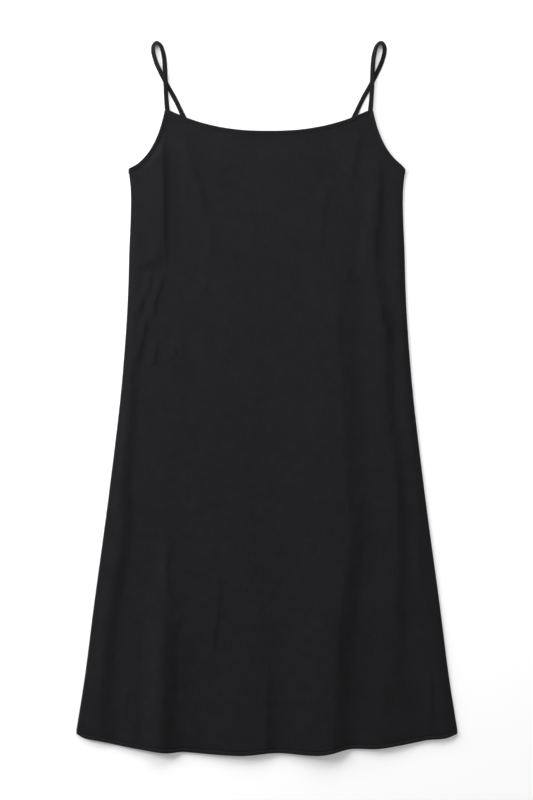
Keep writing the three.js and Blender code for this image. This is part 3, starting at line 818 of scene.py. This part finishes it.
def catmull_rom(values, t):
    """A smooth curve through equally spaced values."""
    values = np.array(values, float)
    padded = np.concatenate([[2 * values[0] - values[1]], values, [2 * values[-1] - values[-2]]])
    position = t * (len(values) - 1)
    i = np.clip(position.astype(int), 0, len(values) - 2)
    f = (position - i)[:, None] if values.ndim > 1 else position - i
    a, b, c, d = padded[i], padded[i + 1], padded[i + 2], padded[i + 3]
    square = 2 * a - 5 * b + 4 * c - d
    cube = 3 * b - a - 3 * c + d
    return 0.5 * (2 * b + (c - a) * f + square * f * f + cube * f**3)


def strap_piece(name, side, material):
    """A narrow turned strip along the strap's route, flattened, with a seam along its top."""
    t = np.linspace(0, 1, STRAP_STATIONS)
    route = {key: catmull_rom(column(STRAP_ROUTE, key), t) for key in ("out", "up", "z", "width", "roll")}
    x = NECK_SHIFT + side * route["out"]
    middle = np.stack([x, route["up"], np.maximum(route["z"], STRAP_THICKNESS / 2)], -1)
    along = np.gradient(middle, axis=0)
    along /= np.linalg.norm(along, axis=1)[:, None]
    size = STRAP_SIDES
    rings = []
    for i, centre in enumerate(middle):
        level = np.cross(along[i], (0, 0, 1))
        level /= np.linalg.norm(level)
        upright = np.cross(level, along[i])
        roll = math.radians(route["roll"][i]) * side
        across = level * math.cos(roll) + upright * math.sin(roll)
        normal = upright * math.cos(roll) - level * math.sin(roll)
        ring = []
        for k in range(size):
            a = 2 * math.pi * k / size
            flat = math.copysign(abs(math.cos(a)) ** STRAP_FLATNESS["across"], math.cos(a))
            full = math.copysign(abs(math.sin(a)) ** STRAP_FLATNESS["through"], math.sin(a))
            from_seam = (k - STRAP_SEAM["side"]) % size
            seam = 1 - STRAP_SEAM["depth"] * math.exp(-((from_seam / STRAP_SEAM["width"]) ** 2))
            p = centre + across * flat * route["width"][i] / 2 + normal * full * seam * STRAP_THICKNESS / 2
            ring.append((p[0], p[1] + HEM_Y, max(p[2], STRAP_LOWEST)))
        rings.append(ring)
    return swept_mesh(name, np.array(rings), material)


# ---- Materials ----

CLOTH_COLOUR = (0.0078, 0.0074, 0.0086)
# The strips and straps are the same black cloth, painted lighter: painted light for the light their
# raised, rounded edges catch.
STRIP_COLOUR_PAINTED_LIGHTER = (0.0086, 0.0082, 0.0094)
# The thread's two tones are painted shade and highlight along its twist.
THREAD_SHADE_AND_HIGHLIGHT = ((0.004, 0.004, 0.005, 1), (0.009, 0.009, 0.010, 1))
FLOOR_COLOUR = (0.96, 0.96, 0.96, 1)

# Relief of the weave: scales along x, y and z of the slubs in either direction, and heights.
WEAVE_SCALE = 6000 / (2 * math.pi)  # the wave node's own measure: about 30 threads to a centimetre
SLUB_SCALES = ((90, 1400, 90), (1400, 90, 90))
RELIEF = {"weave": 0.35, "mottle": 1.2, "strength": 0.55, "distance": 0.0005}
ROUGHNESS_LEAST = 0.78
ROUGHNESS_RANGE = 0.16

# Uneven dye: noises, each with its scales along x, y and z, its size, and its share of the tone.
DYE = [
    {"noise": "mottle", "along": (1, 1, 1), "size": 210, "detail": 3, "rough": 0.6, "share": 0.25},
    {"noise": "patches", "along": (1, 1, 1), "size": 80, "detail": 2, "rough": 0.5, "share": 0.3},
    {"noise": "streaks", "along": (260, 60, 260), "size": 1, "detail": 2, "rough": 0.5, "share": 0.3},
    {"noise": "broad", "along": (1, 1, 1), "size": 20, "detail": 3, "rough": 0.5, "share": 0.25},
]
SLUB_SHARE = 0.1
DYE_RANGE = (0.47, 0.79)  # the tones at which the cloth is darkest and lightest


def cloth_material(name, colour, unevenness):
    """Matte woven cloth: fine threads and slubs as bump, and soft uneven dye."""
    material = bpy.data.materials.new(name)
    material.use_nodes = True
    nodes, links = material.node_tree.nodes, material.node_tree.links
    shader = nodes["Principled BSDF"]
    shader.inputs["Specular IOR Level"].default_value = 0.1
    shader.inputs["Sheen Weight"].default_value = 0.02
    shader.inputs["Sheen Roughness"].default_value = 0.55
    place = nodes.new("ShaderNodeTexCoord")

    def mapped(scales):
        node = nodes.new("ShaderNodeMapping")
        node.inputs["Scale"].default_value = scales
        links.new(place.outputs["Object"], node.inputs["Vector"])
        return node.outputs["Vector"]

    def noise(scales, size, detail, rough=0.5):
        node = nodes.new("ShaderNodeTexNoise")
        node.inputs["Scale"].default_value = size
        node.inputs["Detail"].default_value = detail
        node.inputs["Roughness"].default_value = rough
        links.new(mapped(scales), node.inputs["Vector"])
        return node.outputs["Fac"]

    def math_node(operation, a, b):
        node = nodes.new("ShaderNodeMath")
        node.operation = operation
        for socket, value in zip(node.inputs, (a, b)):
            if isinstance(value, (int, float)):
                socket.default_value = value
            else:
                links.new(value, socket)
        return node.outputs[0]

    def threads(direction):
        node = nodes.new("ShaderNodeTexWave")
        node.wave_type = "BANDS"
        node.bands_direction = direction
        node.inputs["Scale"].default_value = WEAVE_SCALE
        node.inputs["Distortion"].default_value = 1.2
        node.inputs["Detail"].default_value = 1
        links.new(mapped((1, 1, 1)), node.inputs["Vector"])
        return node.outputs["Fac"]

    weave = math_node("ADD", threads("X"), threads("Y"))
    slubs = math_node("ADD", *(noise(scales, 1, 2) for scales in SLUB_SCALES))
    noises = {row["noise"]: noise(row["along"], row["size"], row["detail"], row["rough"]) for row in DYE}

    height = math_node("ADD", math_node("MULTIPLY", weave, RELIEF["weave"]), slubs)
    height = math_node("ADD", height, math_node("MULTIPLY", noises["mottle"], RELIEF["mottle"]))
    bump = nodes.new("ShaderNodeBump")
    bump.inputs["Strength"].default_value = RELIEF["strength"]
    bump.inputs["Distance"].default_value = RELIEF["distance"]
    links.new(height, bump.inputs["Height"])
    links.new(bump.outputs["Normal"], shader.inputs["Normal"])

    tone = math_node("MULTIPLY", slubs, SLUB_SHARE)
    for row in DYE:
        tone = math_node("ADD", tone, math_node("MULTIPLY", noises[row["noise"]], row["share"]))
    ramp = nodes.new("ShaderNodeValToRGB")
    factors = (1 - unevenness, 1 + unevenness)
    for stop, position, factor in zip(ramp.color_ramp.elements, DYE_RANGE, factors):
        stop.position = position
        stop.color = (*[channel * factor for channel in colour], 1)
    links.new(tone, ramp.inputs["Fac"])
    links.new(ramp.outputs["Color"], shader.inputs["Base Color"])
    roughness = math_node("MULTIPLY", noises["mottle"], ROUGHNESS_RANGE)
    links.new(math_node("ADD", roughness, ROUGHNESS_LEAST), shader.inputs["Roughness"])
    return material


def thread_material():
    """Sewing thread with a twist: its darker and lighter diagonal bands are painted shade and highlight
    along the twist.
    """
    material = bpy.data.materials.new("thread")
    material.use_nodes = True
    nodes, links = material.node_tree.nodes, material.node_tree.links
    shader = nodes["Principled BSDF"]
    shader.inputs["Specular IOR Level"].default_value = 0.25
    shader.inputs["Roughness"].default_value = 0.7
    place = nodes.new("ShaderNodeTexCoord")
    wave = nodes.new("ShaderNodeTexWave")
    wave.bands_direction = "DIAGONAL"
    wave.inputs["Scale"].default_value = 900
    links.new(place.outputs["Object"], wave.inputs["Vector"])
    ramp = nodes.new("ShaderNodeValToRGB")
    for stop, colour in zip(ramp.color_ramp.elements, THREAD_SHADE_AND_HIGHLIGHT):
        stop.color = colour
    links.new(wave.outputs["Fac"], ramp.inputs["Fac"])
    links.new(ramp.outputs["Color"], shader.inputs["Base Color"])
    return material


def floor_material():
    """Plain matte near-white."""
    material = bpy.data.materials.new("pale_surface")
    material.use_nodes = True
    shader = material.node_tree.nodes["Principled BSDF"]
    shader.inputs["Base Color"].default_value = FLOOR_COLOUR
    shader.inputs["Roughness"].default_value = 0.9
    shader.inputs["Specular IOR Level"].default_value = 0.1
    return material


# ---- Camera, floor and light ----

# In metres and watts.
PICTURE_HEIGHT = 1.28  # what the camera takes in, from top to bottom, at the cloth
PICTURE_MIDDLE = (-0.0006, -0.0029)
CLOTH_TOP = 0.005
LENS = 100
SENSOR = 36
FLOOR_HALF = 6
FLOOR_DROP = 0.0002  # keeps the floor clear of the cloth's underside
WORLD_STRENGTH = 0.38
LIGHTS = [
    {"name": "top_light", "at": (-0.3, 2.5, 1.05), "size": (3.2, 1.2), "power": 88},
    {"name": "left_light", "at": (-2.3, 0.8, 0.85), "size": (0.8, 1.4), "power": 92},
    {"name": "right_light", "at": (2.4, -0.6, 1.5), "size": (1.2, 1.8), "power": 18},
]


def add_camera():
    """Straight above the middle of the picture, looking down."""
    data = bpy.data.cameras.new("camera")
    data.lens = LENS
    data.sensor_width = SENSOR
    data.clip_end = 50
    camera = bpy.data.objects.new("camera", data)
    distance = PICTURE_HEIGHT * LENS / SENSOR
    camera.location = (*PICTURE_MIDDLE, distance + CLOTH_TOP)
    bpy.context.scene.collection.objects.link(camera)
    bpy.context.scene.camera = camera


def add_light(name, location, size, power):
    """A rectangular soft light that shines at the middle of the dress."""
    data = bpy.data.lights.new(name, "AREA")
    data.shape = "RECTANGLE"
    data.size, data.size_y = size
    data.energy = power
    light = bpy.data.objects.new(name, data)
    light.location = location
    light.rotation_euler = (-Vector(location)).to_track_quat("-Z", "Y").to_euler()
    bpy.context.scene.collection.objects.link(light)


def add_surroundings():
    """The pale floor, the lights and an even grey world."""
    corners = [(x * FLOOR_HALF, y * FLOOR_HALF, 0) for x, y in ((-1, -1), (1, -1), (1, 1), (-1, 1))]
    floor = make_object("floor", corners, [(0, 1, 2, 3)], floor_material(), smooth=False)
    floor.location.z = -FLOOR_DROP
    for light in LIGHTS:
        add_light(light["name"], light["at"], light["size"], light["power"])
    world = bpy.data.worlds.new("studio")
    world.use_nodes = True
    background = world.node_tree.nodes["Background"]
    background.inputs["Color"].default_value = (1, 1, 1, 1)
    background.inputs["Strength"].default_value = WORLD_STRENGTH
    bpy.context.scene.world = world
    bpy.context.scene.view_settings.view_transform = "Standard"


# ---- The dress ----

NECK_STATIONS = 111
ARMHOLE_STATIONS = 61
HEM_STITCH_PLACES = 400
HEM_STITCH_MARGIN = 2  # the hem's stitches stop this far inside its corners
SIDES = (("left", -1), ("right", 1))


def finish_piece(piece, slot, *nodes):
    """Every piece rides on the one body; some replace nodes of the frame."""
    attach(piece, "root")
    if nodes:
        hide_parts(*nodes)
    return piece


def bound_strip(name, node, places, inward, heights):
    """A strip and its stitches, as two pieces. The strip replaces a node."""
    strip = finish_piece(folded_strip(name, places, inward, heights, strip_cloth), "binding", node)
    line = strip_stitches(f"{name}_stitches", places, inward, heights[1], thread)
    return [strip, finish_piece(line, "binding")]


add_camera()
add_surroundings()
cloth = cloth_material("black_cloth", CLOTH_COLOUR, 0.22)
# A lighter copy of the cloth: painted light on the strips and straps.
strip_cloth = cloth_material("black_strip", STRIP_COLOUR_PAINTED_LIGHTER, 0.2)
thread = thread_material()

front = cloth_panel("front_cloth", FRONT, front_surfaces, cloth,
                    columns=286, body_rows=215, top_rows=36, hem_raise=0)
finish_piece(front, "cloth", "front_panel")
back = cloth_panel("back_cloth", BACK, back_surfaces, cloth,
                   columns=142, body_rows=110, top_rows=27, hem_raise=BACK_HEM_HIDDEN)
finish_piece(back, "cloth", "back_panel")

front_trim, back_trim = [], []
for cut, heights, word, trim in (
    (FRONT, FRONT_STRIP_HEIGHTS, "front", front_trim),
    (BACK, BACK_STRIP_HEIGHTS, "back", back_trim),
):
    places, inward = neck_route(cut, NECK_STATIONS)
    trim += bound_strip(f"neck_strip_{word}", f"neck_binding_{word}", places, inward, heights)
    for hand, side in SIDES:
        places, inward = armhole_route(cut, side, ARMHOLE_STATIONS)
        if side < 0:
            places, inward = places[::-1], inward[::-1]
        name, node = f"armhole_strip_{word}_{hand}", f"armhole_binding_{word}_{hand}"
        trim += bound_strip(name, node, places, inward, heights)

for hand, side in SIDES:
    finish_piece(strap_piece(f"strap_{hand}_cloth", side, strip_cloth), "strap", f"strap_{hand}")

hem_across = np.linspace(-1, 1, HEM_STITCH_PLACES) * (1 - HEM_STITCH_MARGIN / HEM_HALF)
hem_line_up = hem_up(hem_across * HEM_HALF) + HEM_TURN
hem_x = hem_across * side_half(HEM_RISE + HEM_TURN)
hem_z = front_surfaces(hem_x, hem_line_up)[1] - HEM_GROOVE + STITCH_RADIUS
hem_line = np.stack([hem_x, hem_line_up, hem_z], -1)
hem_stitches = finish_piece(stitch_row("hem_stitches", hem_line, thread), "cloth")
